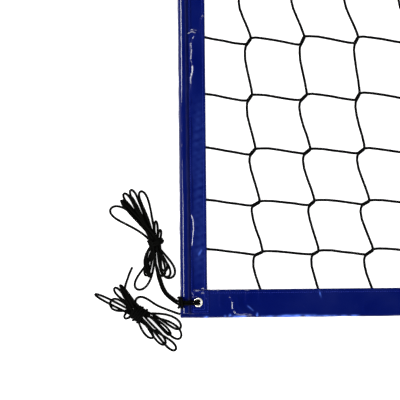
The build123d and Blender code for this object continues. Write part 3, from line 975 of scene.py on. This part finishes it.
def tube_mesh(name, paths, radius, sides=6):
    """Round tubes along flat-lying paths, each closed at both ends."""
    blocks, faces = [], []
    count = 0
    turn = np.linspace(0, 2 * np.pi, sides, endpoint=False)
    for path in paths:
        points = to_frame(path)
        tangent = np.gradient(points, axis=0)
        tangent /= np.linalg.norm(tangent, axis=1)[:, None]
        across = np.cross(tangent, (0.0, 0.0, 1.0))
        across /= np.linalg.norm(across, axis=1)[:, None]
        up = np.cross(across, tangent)
        c, s = np.cos(turn)[None, :, None], np.sin(turn)[None, :, None]
        ring = across[:, None] * c + up[:, None] * s
        blocks.append((points[:, None] + radius * ring).reshape(-1, 3))
        rows = len(points)
        faces += [tuple(face) for face in grid_faces(rows, sides, count, wrap=True).tolist()]
        faces.append(tuple(range(count + sides - 1, count - 1, -1)))
        faces.append(tuple(range(count + (rows - 1) * sides, count + rows * sides)))
        count += rows * sides
    return mesh_from(name, np.concatenate(blocks), faces)


def make_netting():
    rows = [row_path(row) for row in range(1, ROWS + 1)]
    mesh = tube_mesh("net_cross_cords", rows, TWINE_R)
    finish_piece("net_cross_cords", mesh, TWINE, ["netting"])
    columns = [column_path(column) for column in range(1, COLUMNS + 1)]
    mesh = tube_mesh("net_up_cords", columns, TWINE_R)
    finish_piece("net_up_cords", mesh, TWINE)


# ---------------------------------------------------------------- kept CAD pieces


def dress_kept_pieces():
    """Give the CAD pieces that stay their materials; the first word that fits a name counts."""
    looks = {"rod_cap": CAP_RUBBER, "rod": FIBREGLASS, "rope": CORD, "washer": METAL}
    for name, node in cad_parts.items():
        for word, material in looks.items():
            if word in name:
                node.data.materials.clear()
                node.data.materials.append(material)
                break


# ---------------------------------------------------------------- tie cords and hanks

# Routes in corner coordinates, as in the CAD: the loop round the band's edge, then through
# the eyelet, over the sleeve and away to the hank.
HITCH_LOW = [
    (-1.2, 37.4, 17.2), (-1.2, 35.2, 20.4), (-1.2, 29, 21.4), (-1.4, 23.6, 20.5), (-2.4, 20.4, 16),
    (-3.6, 19.8, 9), (-3.6, 20, 4.4), (-0.8, 20.8, 2.4), (8, 22.2, 2.4), (22, 25.8, 2.4),
    (32, 26.6, 2.4), (35.2, 26.6, 3.6), (35.2, 26.6, 8), (34, 26.5, 10.3), (29, 26.5, 10.6),
    (23.5, 26.5, 10.8), (16, 26.6, 16.6), (3.5, 26.7, 16.8), (-4, 26.8, 10), (-6.2, 27.3, 4.8),
    (-10.3, 29.3, 2.5),
]
HITCH_HIGH = [
    (3.4, 20.4, 16.6), (3.6, 22.2, 20.2), (3.4, 29, 21.6), (3, 35, 20.8), (2, 38.4, 16.8),
    (-1.4, 39, 12.5), (-3.8, 38.6, 8.5), (-3.8, 38, 4.4), (-0.8, 37.2, 2.4), (8, 35.8, 2.4),
    (22, 32.2, 2.4), (32, 31.4, 2.4), (35.2, 31.3, 3.6), (35.2, 31.3, 8), (34, 31.3, 10.3),
    (29, 31.3, 10.6), (23.5, 31.3, 10.8), (16, 31.4, 16.6), (3.5, 31.4, 16.8), (-3.4, 31.5, 10),
    (-5, 31.8, 4.8), (-7.7, 32.7, 2.6),
]
LEAD_LOW = [
    (-14.9, 32.9, 2.1), (-19.4, 36.4, 2.1), (-27.6, 43.6, 2.1), (-33.9, 54.1, 2.1), (-38, 66.3, 2.2),
    (-42, 79.4, 3),
]
LEAD_HIGH = [
    (-12.2, 36.2, 2.1), (-16.6, 39.6, 2.1), (-24.4, 46.4, 2.1), (-30.1, 55.9, 2.1), (-34, 67.7, 2.4),
    (-38, 80.6, 5),
]
ROPE_TAIL = [
    (0, 7, 2.9), (-10, 10.3, 2.5), (-24, 15.7, 2.1), (-37, 21, 2.1), (-46, 25.5, 2.1), (-55, 32, 2.1),
    (-63.5, 37.5, 2.1), (-72.5, 40.5, 2.1), (-80.5, 38, 2.4), (-83.5, 30, 4), (-81, 22.5, 7),
]
ROPE_END = [
    (-102, 50, 6.5), (-101.2, 61, 5.2), (-97, 72.5, 3), (-93.2, 84, 2.2), (-87.8, 95, 2.1),
]

PETAL_STEPS = 18
WRAP_STEPS = 14
STRANDS_ABREAST, STRAND_LAYERS, STRAND_PITCH = 5, 3, 0.0042


def petal(base, tip, after, width, level, bend, taper):
    """One loop of a hank: out from base to tip and back to after, lying at a level above the floor."""
    points = []
    bx, by, bz = base
    ex, ey, ez = after
    # the largest value of sin(2 pi t) * out**taper, so that width is the loop's true half width
    peak = 2 * ((2 * taper + 1) / (2 * taper + 2)) ** (taper + 0.5) / math.sqrt(2 * taper + 2)
    size = math.hypot(tip[0] - bx, tip[1] - by)
    nx, ny = -(tip[1] - by) / size, (tip[0] - bx) / size
    for step in range(1, PETAL_STEPS):
        t = step / PETAL_STEPS
        out = (1 - math.cos(2 * math.pi * t)) / 2
        spread = math.sin(2 * math.pi * t) * out**taper / peak
        rootx, rooty, rootz = (b + (e - b) * t for b, e in ((bx, ex), (by, ey), (bz, ez)))
        bow = bend * math.sin(math.pi * out)
        x = rootx + (tip[0] - rootx) * out + nx * (width * spread + bow)
        y = rooty + (tip[1] - rooty) * out + ny * (width * spread + bow)
        z = rootz + (level - rootz) * float(smooth_step(out, 0.05, 0.75))
        points.append((x, y, z))
    return points


def wraps(centre, axis, turns, size, pitch, start=0.0, slant=0.0):
    """Turns wound tightly round the waist of a hank, side by side along its axis."""
    ax, ay = axis
    points = []
    count = int(turns * WRAP_STEPS)
    for step in range(count + 1):
        turn = start + 2 * math.pi * step / WRAP_STEPS
        along = (step / WRAP_STEPS - turns / 2) * pitch + slant * math.cos(turn)
        across = size[0] * math.cos(turn) * (1 + 0.12 * math.sin(1.7 * turn / math.pi))
        lift = size[1] * math.sin(turn)
        points.append((centre[0] + ax * along - ay * across, centre[1] + ay * along + ax * across,
                       centre[2] + lift))
    return points


def make_cord(name, points, replaced):
    curve = bpy.data.curves.new(name, "CURVE")
    curve.dimensions = "3D"
    curve.bevel_depth = CORD_D / 2
    curve.bevel_resolution = 3
    curve.resolution_u = 4
    curve.use_fill_caps = True
    spline = curve.splines.new("NURBS")
    spline.points.add(len(points) - 1)
    for point, (x, y, z) in zip(spline.points, points):
        point.co = (*at(x, y, max(z, CORD_D / 2)), 1.0)
    spline.order_u = 3
    spline.use_endpoint_u = True
    curve.materials.append(CORD)
    obj = add_object(name, curve)
    declare(obj, replaced)


# Each loop of a hank: tip x, tip y, half width, level above the floor and sideways bow, all in
# millimetres, and how much of its width is near its tip.
ROPE_LOOPS = [
    (-157, 45.5, 3.4, 2.4, 0, 0.9), (1, -17, 9.5, 2.4, 6, 1.4), (-129, 30, 11, 6, 0, 1.3),
    (1, -35, 11, 6.4, 6, 1.4), (-121, 57, 5.5, 6, 0, 1.4), (-9, -58.5, 7, 2.4, 0, 2.4),
    (-110, 62.5, 2.6, 8.5, 0, 0.8), (-29, -48, 7, 6.2, 0, 1.6), (-103, 4, 5, 8.5, -2, 1.6),
    (-52, -36.5, 6, 2.4, -3, 1.0), (-108, 56, 3, 11, 0, 0.8), (-18, -30, 4.5, 10, 4, 1.2),
]
ROPE_WAIST = (-0.0770, 0.0090, 0.0090)
ROPE_AXIS = (0.83, -0.557)


def slot_in_waist(waist, axis, number):
    """Where a strand crosses the middle of a hank: strands lie side by side in layers."""
    layer, column = divmod(number, STRANDS_ABREAST)
    layer %= STRAND_LAYERS
    across = (column - (STRANDS_ABREAST - 1) / 2) * STRAND_PITCH
    across += STRAND_PITCH / 2 if layer == 1 else 0.0
    return (waist[0] - axis[1] * across, waist[1] + axis[0] * across, 0.0050 + layer * 0.0036)


def hank_turns(loops, waist, axis, first=0):
    """All the loops of a hank in order, each starting where the one before crosses the waist."""
    points = []
    here = slot_in_waist(waist, axis, first)
    for number, (*sizes, taper) in enumerate(loops):
        tip_x, tip_y, width, level, bow = metres(sizes)
        after = slot_in_waist(waist, axis, first + (number + 1) * 2)
        points.append(here)
        points += petal(here, (tip_x, tip_y), after, width, level, bow, taper)
        here = after
    points.append(here)
    return points


def rope_cord():
    wound = wraps(ROPE_WAIST, ROPE_AXIS, 4.5, (0.0140, 0.0088), 0.0044, start=1.2, slant=0.0022)
    turns = hank_turns(ROPE_LOOPS, ROPE_WAIST, ROPE_AXIS)
    points = metres(ROPE_TAIL) + wound + turns + metres(ROPE_END)
    make_cord("rope_tail_cord", points,
              ("rope_tail", "rope_hank", "rope_end"))


TIE_WAIST = (-0.0430, 0.1410, 0.0095)
TIE_AXIS = (0.2, -0.98)
TIE_LOOPS_A = [
    (-126.5, 204, 12.5, 2.4, -5, 1.4), (-79, 53, 12.5, 2.4, 4, 1.4), (-107.5, 218, 2.6, 6, 0, 0.8),
    (-16, 74, 12.5, 2.4, 0, 1.3), (-102, 231, 5.5, 6, 0, 3.0), (-21.5, 76.5, 9, 6.2, 0, 1.3),
    (-106, 215, 2.8, 9.5, 0, 0.8), (-57, 77, 2.6, 6.2, -12, 0.8), (-43, 179, 2.6, 10, 0, 1.0),
]
TIE_LOOPS_B = [
    (-89.5, 237.5, 5, 2.4, 0, 3.6), (-32, 78, 7.5, 9.5, 0, 1.2), (-71, 235, 7, 2.4, -3, 2.2),
    (-63, 79, 5, 6.2, -3, 1.6), (-103, 220, 2.6, 2.4, 0, 0.8), (-55, 79, 3, 9.5, -14, 0.8),
    (-89, 225, 2.8, 9.5, 0, 0.8), (-26, 88, 7, 9.5, 1, 1.2), (-35, 163, 2.2, 12, 0, 1.0),
]


def tie_cords():
    wound = wraps(TIE_WAIST, TIE_AXIS, 2.0, (0.0120, 0.0095), 0.0046, start=2.0, slant=-0.0015)
    turns = hank_turns(TIE_LOOPS_A, TIE_WAIST, TIE_AXIS)
    low = metres(HITCH_LOW + LEAD_LOW) + wound + turns
    make_cord("tie_cord_low", low, ("tie_hitch", "tie_lead_low", "tie_hank"))
    wound = wraps(TIE_WAIST, TIE_AXIS, 1.5, (0.0135, 0.0098), 0.0046, start=2.6, slant=0.0012)
    turns = hank_turns(TIE_LOOPS_B, TIE_WAIST, TIE_AXIS, 1)
    high = metres(HITCH_HIGH + LEAD_HIGH) + wound + turns
    make_cord("tie_cord_high", high, ("tie_lead_high",))


# ---------------------------------------------------------------- the whole scene

bpy.context.scene.view_settings.view_transform = "Standard"
make_world()
make_floor()
make_camera()
make_lights()
rope_cord()
tie_cords()
make_long_band("bottom", BOTTOM_WIDTH, -1, 0.34)
make_long_band("top", TOP_WIDTH, 1, 0.0)
for kind, side, fine in (("left", -1, 0.54), ("right", 1, 0.02)):
    make_side_band(kind, side, fine)
    make_sleeve(kind, side, fine + 0.05)
    make_side_seams(kind, side)
make_long_seam("bottom", BOTTOM_WIDTH, -1)
make_long_seam("top", TOP_WIDTH, 1)
for name, (side, end, x, y) in EYELETS.items():
    make_patch(name, side, end, x, y)
    make_eyelet(name, side, end, x, y)
make_netting()
dress_kept_pieces()
